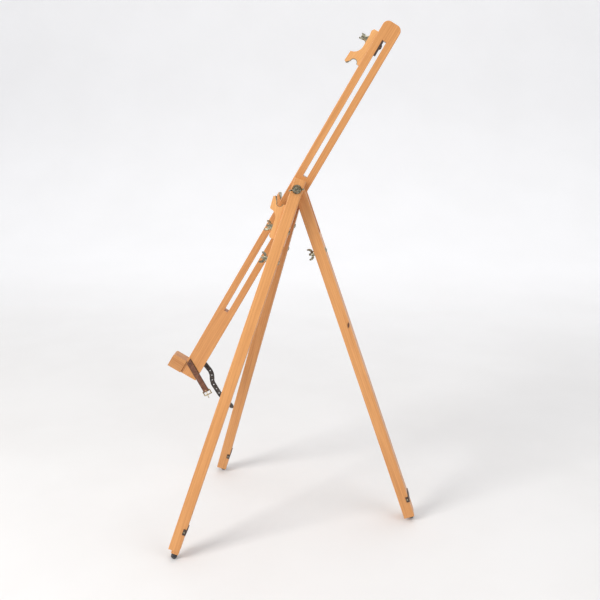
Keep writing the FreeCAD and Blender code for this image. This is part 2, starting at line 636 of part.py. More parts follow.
def strap_nail(side):
    """Round-headed nail through a strap into the mast."""
    top = side * STRAP_THICK
    shank = rod(NAIL_RADIUS, V(0, top, 0), V(0, -side, 0), NAIL_LENGTH)
    head = rod(NAIL_HEAD_RADIUS, V(0, top, 0), V(0, side, 0), NAIL_HEAD_HEIGHT)
    return shank.fuse(head).removeSplitter()


def buckle():
    """Wire frame at the end of the strap; its bar lies across the strap."""
    half = BUCKLE_WIDTH / 2
    far = BUCKLE_HEIGHT
    ring = [rod(BUCKLE_WIRE, V(0, 0, -half), Z_AXIS, 2 * half),
            rod(BUCKLE_WIRE, V(far, 0, -half), Z_AXIS, 2 * half),
            rod(BUCKLE_WIRE, V(0, 0, -half), X_AXIS, far),
            rod(BUCKLE_WIRE, V(0, 0, half), X_AXIS, far)]
    for corner_x in (0, far):
        for corner_z in (-half, half):
            ring.append(Part.makeSphere(BUCKLE_WIRE, V(corner_x, 0, corner_z)))
    return ring[0].multiFuse(ring[1:]).removeSplitter()


def tongue():
    """Buckle's pin, looped round the bar and turned out past the frame."""
    eye = BUCKLE_WIRE + THREAD_CLEARANCE
    loop = rod(TONGUE_EYE, V(0, 0, -TONGUE_WIRE), Z_AXIS, 2 * TONGUE_WIRE)
    start = (eye + TONGUE_EYE) / 2
    reach = BUCKLE_HEIGHT + TONGUE_OVERHANG
    pin = rod(TONGUE_WIRE, V(start, 0, 0), X_AXIS, reach)
    point = Part.makeCone(TONGUE_WIRE, TONGUE_WIRE / 2, TONGUE_POINT, V(start + reach, 0, 0), X_AXIS)
    solid = put(loop.fuse(pin).fuse(point), turn(Z_AXIS, -TONGUE_LIFT)).removeSplitter()
    return solid.cut(rod(eye, V(0, 0, -BUCKLE_WIDTH), Z_AXIS, 2 * BUCKLE_WIDTH))


def bar_fold():
    """End of the buckle strap: leather round the bar, tapered back into the strip."""
    radius = BUCKLE_WIRE + THREAD_CLEARANCE + LOOP_WALL
    half = STRAP_THICK / 2
    rise = [(-LOOP_TAPER, -half), (0, -radius), (0, radius), (-LOOP_TAPER, half)]
    corners = [V(x, y, -BUCKLE_STRAP_WIDTH / 2) for x, y in rise + rise[:1]]
    wedge = Part.Face(Part.makePolygon(corners)).extrude(V(0, 0, BUCKLE_STRAP_WIDTH))
    return wedge.fuse(rod(radius, V(0, 0, -BUCKLE_STRAP_WIDTH / 2), Z_AXIS, BUCKLE_STRAP_WIDTH))


def buckle_strap():
    """Strip with the fold at its end, cut out for the bar and for the tongue's eye."""
    strip = strap_body(-1, ribbon_line((), BUCKLE_BAR), BUCKLE_STRAP_WIDTH)
    place = move(BUCKLE_BAR, -STRAP_THICK / 2, 0)
    strip = strip.fuse(put(bar_fold(), place))
    bar = rod(BUCKLE_WIRE + THREAD_CLEARANCE, V(0, 0, -BUCKLE_STRAP_WIDTH), Z_AXIS, 2 * BUCKLE_STRAP_WIDTH)
    room = TONGUE_EYE + TONGUE_ROOM
    slit = block(-room, room, -room, room, -TONGUE_NOTCH / 2, TONGUE_NOTCH / 2)
    return strip.cut(put(bar, place)).cut(put(slit, place)).removeSplitter()


BUCKLE_STRAP_PLACE = strap_place(-1, BUCKLE_STRAP_ROOT, BUCKLE_STRAP_SAG)
PUNCHED_STRAP_PLACE = strap_place(1, PUNCHED_STRAP_ROOT, PUNCHED_STRAP_SAG)
BUCKLE_BAR = BUCKLE_STRAP_LENGTH - STRAP_TAIL
BUCKLE_PLACE = BUCKLE_STRAP_PLACE.multiply(move(BUCKLE_BAR, -STRAP_THICK / 2, 0))


def straps():
    nodes["buckle_strap"] = put(buckle_strap(), BUCKLE_STRAP_PLACE)
    nodes["strap_buckle"] = put(buckle(), BUCKLE_PLACE)
    nodes["buckle_tongue"] = put(tongue(), BUCKLE_PLACE)
    punched = strap_body(1, ribbon_line(PUNCHED_STRAP_BENDS, PUNCHED_STRAP_END_RUN), PUNCHED_STRAP_WIDTH)
    nodes["punched_strap"] = put(punched, PUNCHED_STRAP_PLACE)
    nodes["strap_nails"] = Part.makeCompound([put(strap_nail(-1), BUCKLE_STRAP_PLACE),
                                              put(strap_nail(1), PUNCHED_STRAP_PLACE)])


straps()

# ---- stand the easel on its footprint's centre and write it out ----
whole = FreeCAD.BoundBox()
for shape in nodes.values():
    whole.add(shape.optimalBoundingBox(False))
SHIFT = V(-(whole.XMin + whole.XMax) / 2, -(whole.YMin + whole.YMax) / 2, -whole.ZMin)

os.makedirs("parts", exist_ok=True)
for name in sorted(nodes):
    shape = nodes[name].copy()
    shape.translate(SHIFT)
    shape.exportStep(os.path.join("parts", name + ".step"))
    print(name, "solids", len(shape.Solids), "valid", shape.isValid(), "mm3", round(shape.Volume))
print("head height", round(HEAD_HEIGHT, 1), "rear lean", round(REAR_LEAN, 2),
      "fork depth", round(FORK_DEPTH, 1), "shift", SHIFT)
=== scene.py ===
# %% [markdown]
# # A folding field easel in varnished beech
# The easel's wooden bars, bolts, nuts and keepers are already modelled as exact solids, and they
# arrive here as a fixed frame. This notebook gives them their finishes, builds the two leather
# straps, and sets up the floor, the light and the camera.

# %% Load the frame
import math

import bpy
import numpy as np
from mathutils import Matrix, Vector


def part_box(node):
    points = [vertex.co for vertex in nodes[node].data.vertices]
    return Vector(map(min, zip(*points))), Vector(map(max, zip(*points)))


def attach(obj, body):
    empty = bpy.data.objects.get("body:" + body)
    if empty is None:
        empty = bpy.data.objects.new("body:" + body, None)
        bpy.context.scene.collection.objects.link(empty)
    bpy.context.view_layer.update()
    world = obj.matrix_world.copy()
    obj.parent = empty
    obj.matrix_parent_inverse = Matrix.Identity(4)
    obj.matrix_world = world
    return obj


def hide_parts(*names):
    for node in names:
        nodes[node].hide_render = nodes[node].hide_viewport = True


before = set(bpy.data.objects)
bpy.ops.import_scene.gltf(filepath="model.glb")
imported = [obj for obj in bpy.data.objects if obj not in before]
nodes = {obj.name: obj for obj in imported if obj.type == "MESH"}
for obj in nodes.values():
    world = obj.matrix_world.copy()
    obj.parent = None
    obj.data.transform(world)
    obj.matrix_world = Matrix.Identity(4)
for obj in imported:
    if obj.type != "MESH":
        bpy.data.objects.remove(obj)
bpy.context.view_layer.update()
washer_low, washer_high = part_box("head_washer")
HEAD_X = (washer_low.x + washer_high.x) / 2
print("the head bolt lies %.1f mm from the middle" % (HEAD_X * 1000))

# %% [markdown]
# ## Shorthand for shader nodes
# Every finish below is a small graph of shader nodes. Adding nodes and joining their sockets one
# by one hides the idea behind the wiring, so these helpers make one step each: a sum, a noise, a
# stretch, a mix. Each one takes sockets or plain numbers and gives back the socket of its result.


# %% One node at a time
def feed(tree, socket, value):
    """Joins a socket to another one, or sets it to a constant."""
    if isinstance(value, bpy.types.NodeSocket):
        tree.links.new(value, socket)
    else:
        socket.default_value = value


def calc(tree, operation, a, b=0.0, clamp=False):
    """One sum on two sockets or numbers."""
    node = tree.nodes.new("ShaderNodeMath")
    node.operation = operation
    node.use_clamp = clamp
    feed(tree, node.inputs[0], a)
    feed(tree, node.inputs[1], b)
    return node.outputs[0]


def ramp(tree, value, low, high, start=0.0, end=1.0):
    """The value's way from low to high, eased, as a number from start to end."""
    node = tree.nodes.new("ShaderNodeMapRange")
    node.interpolation_type = "SMOOTHSTEP"
    for socket, number in zip(node.inputs, (value, low, high, start, end)):
        feed(tree, socket, number)
    return node.outputs[0]


def stretch(tree, vector, scale):
    """Points scaled along each axis, so that a pattern on them is drawn out or squeezed."""
    node = tree.nodes.new("ShaderNodeVectorMath")
    node.operation = "MULTIPLY"
    feed(tree, node.inputs[0], vector)
    node.inputs[1].default_value = scale
    return node.outputs[0]


def noise(tree, vector, scale=1.0, detail=4.0, roughness=0.55):
    """Soft cloudy values around a half."""
    node = tree.nodes.new("ShaderNodeTexNoise")
    feed(tree, node.inputs["Vector"], vector)
    node.inputs["Scale"].default_value = scale
    node.inputs["Detail"].default_value = detail
    node.inputs["Roughness"].default_value = roughness
    return node.outputs["Fac"]


def tint(tree, share, a, b, mode="MIX"):
    """Colour a turned into colour b by a share."""
    node = tree.nodes.new("ShaderNodeMix")
    node.data_type = "RGBA"
    node.blend_type = mode
    feed(tree, node.inputs[0], share)
    feed(tree, node.inputs[6], a)
    feed(tree, node.inputs[7], b)
    return node.outputs[2]


def grey(tree, value):
    """A colour of three equal numbers."""
    node = tree.nodes.new("ShaderNodeCombineColor")
    for channel in range(3):
        feed(tree, node.inputs[channel], value)
    return node.outputs[0]


print("node helpers ready")


# %% Groups with named inputs and outputs
def new_group(name, inputs, outputs):
    """An empty shader node group. Inputs are (name, kind, value) and outputs (name, kind)."""
    group = bpy.data.node_groups.new(name, "ShaderNodeTree")
    for label, kind, value in inputs:
        socket = group.interface.new_socket(label, in_out="INPUT", socket_type="NodeSocket" + kind)
        if value is not None:
            socket.default_value = value
    for label, kind in outputs:
        group.interface.new_socket(label, in_out="OUTPUT", socket_type="NodeSocket" + kind)
    given = group.nodes.new("NodeGroupInput").outputs
    result = group.nodes.new("NodeGroupOutput").inputs
    return group, given, result


def place_group(tree, group, values):
    """The group inside a material, with its own values; gives its outputs."""
    node = tree.nodes.new("ShaderNodeGroup")
    node.node_tree = group
    for label, value in values.items():
        feed(tree, node.inputs[label], value)
    return node.outputs


# %% [markdown]
# ## Edge wear and edge highlight
# Handling rubs the finish off wherever two faces meet. A Bevel node gives the direction that the
# surface would face if its corners were rounded, and where that differs from the true direction
# there is an edge. A cloudy pattern breaks the line up, because nothing wears evenly. On the beech the
# same mask also makes the rounded edges paler, as a painted highlight.

# %% Edge wear and highlight group
edge_wear_and_highlight, given, result = new_group(
    "edge wear and highlight",
    [("Vector", "Vector", None), ("Radius", "Float", 0.0015), ("Patch Size", "Float", 60.0)],
    [("Mask", "Float")])
bevel = edge_wear_and_highlight.nodes.new("ShaderNodeBevel")
bevel.samples = 6
feed(edge_wear_and_highlight, bevel.inputs["Radius"], given["Radius"])
facing = edge_wear_and_highlight.nodes.new("ShaderNodeNewGeometry")
dot = edge_wear_and_highlight.nodes.new("ShaderNodeVectorMath")
dot.operation = "DOT_PRODUCT"
feed(edge_wear_and_highlight, dot.inputs[0], bevel.outputs["Normal"])
feed(edge_wear_and_highlight, dot.inputs[1], facing.outputs["Normal"])
rubbed = ramp(edge_wear_and_highlight, dot.outputs["Value"], 0.995, 0.80)
patches = edge_wear_and_highlight.nodes.new("ShaderNodeTexNoise")
feed(edge_wear_and_highlight, patches.inputs["Vector"], given["Vector"])
feed(edge_wear_and_highlight, patches.inputs["Scale"], given["Patch Size"])
patches.inputs["Detail"].default_value = 3.0
broken = ramp(edge_wear_and_highlight, patches.outputs["Fac"], 0.35, 0.62, 0.25, 1.0)
feed(edge_wear_and_highlight, result["Mask"], calc(edge_wear_and_highlight, "MULTIPLY", rubbed, broken, clamp=True))
print("edge wear and highlight group:", len(edge_wear_and_highlight.nodes), "nodes")

# %% [markdown]
# ## Beech
# Beech is a plain honey-coloured wood. Up close it has faint growth rings, fine fibres drawn out
# along the bar, and the short dark dashes that tell it from every other pale wood. All of them are
# solid patterns in three dimensions, so a bar's end shows the rings that its sides are cut through.
# The patterns take their points in millimetres in the bar's own directions, with Z along the grain.

# %% Beech group
RAY = (0.16, 0.06, 0.02, 1.0)
beech_grain, given, result = new_group(
    "beech grain",
    [("Vector", "Vector", None), ("Light", "Color", (0.8, 0.5, 0.25, 1)),
     ("Dark", "Color", (0.5, 0.25, 0.1, 1)), ("Contrast", "Float", 1.0), ("Tone", "Float", 1.0)],
    [("Color", "Color"), ("Roughness", "Float"), ("Height", "Float")])
tree = beech_grain
points = given["Vector"]
rings = tree.nodes.new("ShaderNodeTexWave")
rings.wave_type = "RINGS"
rings.rings_direction = "Z"
feed(tree, rings.inputs["Vector"], stretch(tree, points, (0.06, 0.06, 0.004)))
rings.inputs["Scale"].default_value = 1.1
rings.inputs["Distortion"].default_value = 2.2
rings.inputs["Detail"].default_value = 3.0
rings.inputs["Detail Scale"].default_value = 0.9
broad = noise(tree, stretch(tree, points, (0.11, 0.11, 0.0035)), detail=3.0)
streaks = noise(tree, stretch(tree, points, (0.5, 0.5, 0.012)), detail=5.0, roughness=0.6)
fibres = noise(tree, stretch(tree, points, (2.6, 2.6, 0.07)), detail=4.0, roughness=0.65)
cells = tree.nodes.new("ShaderNodeTexVoronoi")
feed(tree, cells.inputs["Vector"], stretch(tree, points, (1.5, 1.5, 0.3)))
cells.inputs["Scale"].default_value = 1.0
dash = ramp(tree, cells.outputs["Distance"], 0.30, 0.12)
chosen = tree.nodes.new("ShaderNodeSeparateColor")
feed(tree, chosen.inputs[0], cells.outputs["Color"])
dash = calc(tree, "MULTIPLY", dash, calc(tree, "GREATER_THAN", chosen.outputs[0], 0.45))

late = calc(tree, "MULTIPLY", rings.outputs["Fac"], 0.20)
late = calc(tree, "ADD", late, ramp(tree, broad, 0.36, 0.68, 0.0, 0.34))
late = calc(tree, "ADD", late, ramp(tree, streaks, 0.38, 0.70, 0.0, 0.34))
late = calc(tree, "ADD", late, ramp(tree, fibres, 0.35, 0.72, 0.0, 0.20))
late = calc(tree, "MULTIPLY", late, given["Contrast"], clamp=True)
wood = tint(tree, late, given["Light"], given["Dark"])
wood = tint(tree, calc(tree, "MULTIPLY", dash, 0.22), wood, RAY)
wood = tint(tree, 1.0, wood, grey(tree, given["Tone"]), "MULTIPLY")
feed(tree, result["Color"], wood)
gloss = ramp(tree, fibres, 0.3, 0.7, 0.34, 0.50)
feed(tree, result["Roughness"], calc(tree, "ADD", gloss, calc(tree, "MULTIPLY", dash, 0.12)))
height = calc(tree, "SUBTRACT", calc(tree, "MULTIPLY", fibres, 0.8), calc(tree, "MULTIPLY", dash, 0.5))
feed(tree, result["Height"], calc(tree, "ADD", height, calc(tree, "MULTIPLY", streaks, 0.5)))
print("beech grain group:", len(beech_grain.nodes), "nodes")


# %% [markdown]
# ## One material for each bar
# No two bars come from the same plank, and every bar has its grain along its own length. The length
# is the direction in which the bar's corners spread furthest, which a singular value decomposition
# of its vertices gives. A Mapping node turns the pattern by that much and shifts it to another part
# of the tree, so no bar repeats its neighbour.


# %% A bar's own directions
def bar_turn(piece):
    """The turn, as XYZ angles, that lays the piece's longest direction along Z and the next along Y."""
    corners = np.empty(len(piece.data.vertices) * 3)
    piece.data.vertices.foreach_get("co", corners)
    corners = np.unique(corners.reshape(-1, 3).round(5), axis=0)
    spread = np.linalg.svd(corners - corners.mean(0), full_matrices=False)[2]
    across, side, along = spread[2], spread[1], spread[0]
    if np.dot(np.cross(across, side), along) < 0:
        across = -across
    return Matrix(np.array([across, side, along]).tolist()).to_euler("XYZ")


def new_material(name, display):
    """An empty material with its Principled shader; gives the material, its tree and the shader."""
    material = bpy.data.materials.new(name)
    material.use_nodes = True
    material.diffuse_color = (*display, 1.0)
    tree = material.node_tree
    return material, tree, tree.nodes["Principled BSDF"]


def own_points(tree, turn=(0, 0, 0), shift=(0, 0, 0), scale=1000.0):
    """The surface's own place, turned into the piece's directions, in millimetres."""
    place = tree.nodes.new("ShaderNodeTexCoord").outputs["Object"]
    mapping = tree.nodes.new("ShaderNodeMapping")
    feed(tree, mapping.inputs["Vector"], place)
    mapping.inputs["Rotation"].default_value = turn
    mapping.inputs["Scale"].default_value = (scale,) * 3
    mapping.inputs["Location"].default_value = shift
    return mapping.outputs["Vector"]


def relief(tree, shader, height, depth, strength=1.0):
    """Height as a bump on the shader's normal; depth is in metres."""
    bump = tree.nodes.new("ShaderNodeBump")
    feed(tree, bump.inputs["Height"], height)
    bump.inputs["Distance"].default_value = depth
    bump.inputs["Strength"].default_value = strength
    feed(tree, shader.inputs["Normal"], bump.outputs["Normal"])


def cover(piece, material):
    """Gives every face of a frame piece this material."""
    if not piece.material_slots:
        piece.data.materials.append(material)
    for held in piece.material_slots:
        held.material = material


# %% Beech bars
HONEY = (0.735, 0.350, 0.118, 1.0)
AMBER = (0.500, 0.190, 0.048, 1.0)
PALE = (0.800, 0.410, 0.150, 1.0)
STRAW = (0.640, 0.280, 0.085, 1.0)
# Paler colour for the beech edges: rubbed varnish and a painted edge highlight.
WORN_AND_HIGHLIT = (0.850, 0.520, 0.240, 1.0)
KNOT = (0.100, 0.032, 0.012, 1.0)
KNOT_SQUEEZE = 0.36


def beech(piece, light, dark, contrast, tone, lot, knot=None):
    """Varnished beech for one bar, cut from its own lot of the tree. A knot is a place in metres, and
    its height counts for less than its width, so the dark spot is taller than it is wide."""
    material, tree, shader = new_material("beech_" + piece.name, light[:3])
    lots = np.random.default_rng(lot).uniform(-400.0, 400.0, 3)
    points = own_points(tree, bar_turn(piece), (lots[0] * 0.1 + 60.0, lots[1] * 0.1 + 40.0, lots[2]))
    grain = place_group(tree, beech_grain, {
        "Vector": points, "Light": light, "Dark": dark, "Contrast": contrast, "Tone": tone})
    edge = place_group(tree, edge_wear_and_highlight, {"Vector": points, "Radius": 0.0012, "Patch Size": 0.05})
    # The edges turn paler: partly rubbed varnish, partly a painted highlight along the rounded edges.
    rubbed = calc(tree, "MULTIPLY", edge["Mask"], 0.38)
    wood = tint(tree, rubbed, grain["Color"], WORN_AND_HIGHLIT)
    if knot:
        away = tree.nodes.new("ShaderNodeVectorMath")
        away.operation = "DISTANCE"
        place = tree.nodes.new("ShaderNodeTexCoord").outputs["Object"]
        feed(tree, away.inputs[0], stretch(tree, place, (1.0, 1.0, KNOT_SQUEEZE)))
        away.inputs[1].default_value = (knot[0], knot[1], knot[2] * KNOT_SQUEEZE)
        ragged = calc(tree, "ADD", away.outputs["Value"],
                      calc(tree, "MULTIPLY", noise(tree, points, 0.5, detail=3.0), 0.0016))
        wood = tint(tree, ramp(tree, ragged, 0.0042, 0.0022), wood, KNOT)
    feed(tree, shader.inputs["Base Color"], wood)
    feed(tree, shader.inputs["Roughness"], grain["Roughness"])
    shader.inputs["Coat Roughness"].default_value = 0.28
    feed(tree, shader.inputs["Coat Weight"], calc(tree, "SUBTRACT", 0.25, rubbed, clamp=True))
    relief(tree, shader, grain["Height"], 0.00012, 0.55)
    cover(piece, material)
    return material


bars = {
    "mast": (HONEY, AMBER, 0.85, 1.00), "canvas_rest": (HONEY, AMBER, 1.10, 0.86),
    "right_leg_upper": (HONEY, AMBER, 0.80, 1.04), "right_leg_lower": (HONEY, AMBER, 1.00, 1.00),
    "left_leg_upper": (HONEY, AMBER, 0.95, 0.96), "left_leg_lower": (HONEY, AMBER, 1.00, 0.98),
    "rear_leg_upper": (HONEY, AMBER, 0.90, 1.02), "rear_leg_lower": (HONEY, AMBER, 1.00, 0.95),
    "top_clamp": (PALE, STRAW, 0.80, 1.04), "right_box_hook": (PALE, STRAW, 0.80, 1.04),
    "left_box_hook": (PALE, STRAW, 0.85, 1.00)}
knots = {"rear_leg_upper": (HEAD_X + 0.1165, -0.0208, 0.5086)}
for lot, (name, look) in enumerate(bars.items()):
    beech(nodes[name], *look, lot=lot + 11, knot=knots.get(name))
print(len(bars), "beech pieces, each with its own turn and lot")

# %% [markdown]
# ## Plated steel
# Bolts, washers, wing nuts and the liners of the hooks are zinc plated. Plating is grey with a
# yellow-green cast, cloudy where fingers have dulled it, and crossed by hair-fine scratches that
# show only in the gloss. On the zinc the dulled colour is made very dark, so it is also a painted
# dark reflection. The keepers and the sliding plate are blued steel, much darker, and the buckle
# is aged brass. One group serves all three, each with its own colours.

# %% Plated metal group
plated_metal, given, result = new_group(
    "plated metal",
    [("Vector", "Vector", None), ("Clean", "Color", (0.6, 0.6, 0.5, 1)),
     ("Dull", "Color", (0.3, 0.3, 0.25, 1)), ("Polish", "Float", 0.28)],
    [("Color", "Color"), ("Roughness", "Float"), ("Height", "Float")])
tree = plated_metal
points = given["Vector"]
clouds = noise(tree, stretch(tree, points, (0.22, 0.22, 0.22)), detail=4.0)
grit = noise(tree, stretch(tree, points, (2.4, 2.4, 2.4)), detail=5.0, roughness=0.7)
hairs = noise(tree, stretch(tree, points, (0.4, 5.0, 5.0)), detail=2.0)
hairs = ramp(tree, hairs, 0.60, 0.72)
crossing = noise(tree, stretch(tree, points, (5.0, 0.5, 4.0)), detail=2.0)
crossing = ramp(tree, crossing, 0.62, 0.74)
scratches = calc(tree, "MAXIMUM", hairs, crossing)
dulled = calc(tree, "ADD", ramp(tree, clouds, 0.34, 0.66, 0.0, 0.75),
              ramp(tree, grit, 0.42, 0.75, 0.0, 0.35), clamp=True)
plate = tint(tree, dulled, given["Clean"], given["Dull"])
feed(tree, result["Color"], plate)
rough = calc(tree, "ADD", given["Polish"], calc(tree, "MULTIPLY", dulled, 0.24))
feed(tree, result["Roughness"], calc(tree, "ADD", rough, calc(tree, "MULTIPLY", scratches, 0.12)))
feed(tree, result["Height"], calc(tree, "SUBTRACT", calc(tree, "MULTIPLY", grit, 0.4), scratches))


def metal(name, clean, dull, polish, worn, metallic=1.0, wear=0.7, depth=0.00003):
    """A plated or blued metal, its edges rubbed through to a brighter one."""
    material, tree, shader = new_material(name, clean[:3])
    points = own_points(tree)
    skin = place_group(tree, plated_metal, {
        "Vector": points, "Clean": clean, "Dull": dull, "Polish": polish})
    edge = place_group(tree, edge_wear_and_highlight, {"Vector": points, "Radius": 0.0004, "Patch Size": 0.6})
    bright = calc(tree, "MULTIPLY", edge["Mask"], wear)
    feed(tree, shader.inputs["Base Color"], tint(tree, bright, skin["Color"], worn))
    feed(tree, shader.inputs["Roughness"],
         calc(tree, "SUBTRACT", skin["Roughness"], calc(tree, "MULTIPLY", bright, 0.12)))
    shader.inputs["Metallic"].default_value = metallic
    relief(tree, shader, skin["Height"], depth, 0.6)
    return material


# The zinc's dull colour is very dark: finger-dulled plating and a painted dark reflection.
zinc = metal("zinc_plate", (0.56, 0.52, 0.38, 1), (0.105, 0.095, 0.060, 1), 0.17, (0.95, 0.90, 0.72, 1))
blued = metal("blued_steel", (0.085, 0.060, 0.052, 1), (0.150, 0.095, 0.070, 1), 0.36,
              (0.42, 0.33, 0.27, 1), metallic=0.75, wear=0.5)
brass = metal("aged_brass", (0.46, 0.36, 0.19, 1), (0.17, 0.13, 0.07, 1), 0.28, (0.84, 0.70, 0.42, 1))
print("metals:", zinc.name, blued.name, brass.name)

# %% Metal pieces
for name, piece in nodes.items():
    if name.endswith(("bolt", "washer", "wing_nut", "liner", "screws")):
        cover(piece, zinc)
    elif name.endswith(("keeper", "slide_plate", "nails")):
        cover(piece, blued)
    elif name in ("strap_buckle", "buckle_tongue"):
        cover(piece, brass)
print("metal pieces covered")

# %% [markdown]
# ## Rubber feet
# The feet are moulded rubber, nearly black, with a bloom of pale dust that gathers low down where
# they touch the floor. The surface is slightly pitted.

# %% Rubber
BLACK_RUBBER = (0.030, 0.031, 0.038, 1)
DUST = (0.23, 0.22, 0.20, 1)
rubber, tree, shader = new_material("rubber", (0.05, 0.05, 0.06))
points = own_points(tree)
pits = noise(tree, points, 1.6, detail=5.0, roughness=0.7)
smears = noise(tree, stretch(tree, points, (0.18, 0.18, 0.3)), detail=4.0)
low = tree.nodes.new("ShaderNodeSeparateXYZ")
feed(tree, low.inputs[0], points)
dusty = calc(tree, "MULTIPLY", ramp(tree, low.outputs["Z"], 9.0, 0.5), ramp(tree, smears, 0.35, 0.65))
dusty = calc(tree, "ADD", dusty, ramp(tree, pits, 0.55, 0.8, 0.0, 0.3), clamp=True)
dusty = calc(tree, "MULTIPLY", dusty, 0.55)
feed(tree, shader.inputs["Base Color"], tint(tree, dusty, BLACK_RUBBER, DUST))
feed(tree, shader.inputs["Roughness"], ramp(tree, smears, 0.3, 0.7, 0.50, 0.78))
relief(tree, shader, pits, 0.0002, 0.5)
for name, piece in nodes.items():
    if name.endswith("foot"):
        cover(piece, rubber)
print("rubber on three feet")

# %% [markdown]
# ## Leather
# The straps read their own UV map, because their pattern has to follow the bends: U runs along the
# strap and V across it, both in millimetres. The face has a pebbled skin with painted shade in the
# creases between the pebbles, the edges are burnished dark, and the middle is rubbed paler.

# %% Leather group
leather_skin, given, result = new_group(
    "leather skin",
    [("Vector", "Vector", None), ("Edge", "Float", 0.0), ("Face", "Color", (0.3, 0.1, 0.05, 1)),
     ("Burnish", "Color", (0.1, 0.04, 0.02, 1)), ("Rub", "Color", (0.5, 0.25, 0.15, 1)),
     ("Rubbed", "Float", 0.4)],
    [("Color", "Color"), ("Roughness", "Float"), ("Height", "Float")])
tree = leather_skin
points = given["Vector"]
pebbles = tree.nodes.new("ShaderNodeTexVoronoi")
pebbles.feature = "DISTANCE_TO_EDGE"
feed(tree, pebbles.inputs["Vector"], points)
pebbles.inputs["Scale"].default_value = 1.25
creases = ramp(tree, pebbles.outputs["Distance"], 0.0, 0.16)
clouds = noise(tree, points, 0.16, detail=4.0)
fine = noise(tree, points, 2.2, detail=4.0, roughness=0.65)
cracks = noise(tree, stretch(tree, points, (0.9, 0.16, 0.9)), detail=5.0, roughness=0.7)
cracks = ramp(tree, cracks, 0.60, 0.72)
rubbed = calc(tree, "MULTIPLY", ramp(tree, clouds, 0.40, 0.66), given["Rubbed"])
rubbed = calc(tree, "MULTIPLY", rubbed, calc(tree, "SUBTRACT", 1.0, given["Edge"], clamp=True))
skin = tint(tree, rubbed, given["Face"], given["Rub"])
# Painted shade: the creases between the pebbles are darkened towards the burnish colour.
skin = tint(tree, calc(tree, "MULTIPLY", calc(tree, "SUBTRACT", 1.0, creases), 0.45), skin, given["Burnish"])
skin = tint(tree, calc(tree, "MULTIPLY", cracks, 0.30), skin, given["Rub"])
skin = tint(tree, given["Edge"], skin, given["Burnish"])
feed(tree, result["Color"], skin)
feed(tree, result["Roughness"], calc(tree, "ADD", ramp(tree, fine, 0.3, 0.7, 0.40, 0.58),
                                     calc(tree, "MULTIPLY", rubbed, 0.2)))
height = calc(tree, "ADD", creases, calc(tree, "MULTIPLY", fine, 0.5))
feed(tree, result["Height"], calc(tree, "SUBTRACT", height, calc(tree, "MULTIPLY", cracks, 0.8)))


def leather(name, face, burnish, rub, rubbed, half_width):
    """Leather for one strap: its own UV map gives the place, and V's distance from 0 the edge."""
    material, tree, shader = new_material(name, face[:3])
    place = tree.nodes.new("ShaderNodeUVMap")
    place.uv_map = "strap"
    parts = tree.nodes.new("ShaderNodeSeparateXYZ")
    feed(tree, parts.inputs[0], place.outputs["UV"])
    off_centre = calc(tree, "ABSOLUTE", parts.outputs["Y"])
    edge = ramp(tree, off_centre, half_width - 1.3, half_width - 0.1)
    skin = place_group(tree, leather_skin, {
        "Vector": place.outputs["UV"], "Edge": edge, "Face": face, "Burnish": burnish,
        "Rub": rub, "Rubbed": rubbed})
    feed(tree, shader.inputs["Base Color"], skin["Color"])
    feed(tree, shader.inputs["Roughness"], skin["Roughness"])
    relief(tree, shader, skin["Height"], 0.00018, 0.7)
    return material


print("leather group:", len(leather_skin.nodes), "nodes")


# %% [markdown]
# ## A strap as a carried strip
# A strap is a thin flat strip that follows a line. Its centre line is worked out first, then a grid
# of points is laid on it: one parameter runs along the line and the other across the strap. Cells of
# the grid that fall in a punched hole are left out, and the points beside a hole are moved onto its
# rim, so the holes are round. Walls close the strip wherever a kept cell has no neighbour, so the
# outer edge and the inside of each hole come from the same rule.


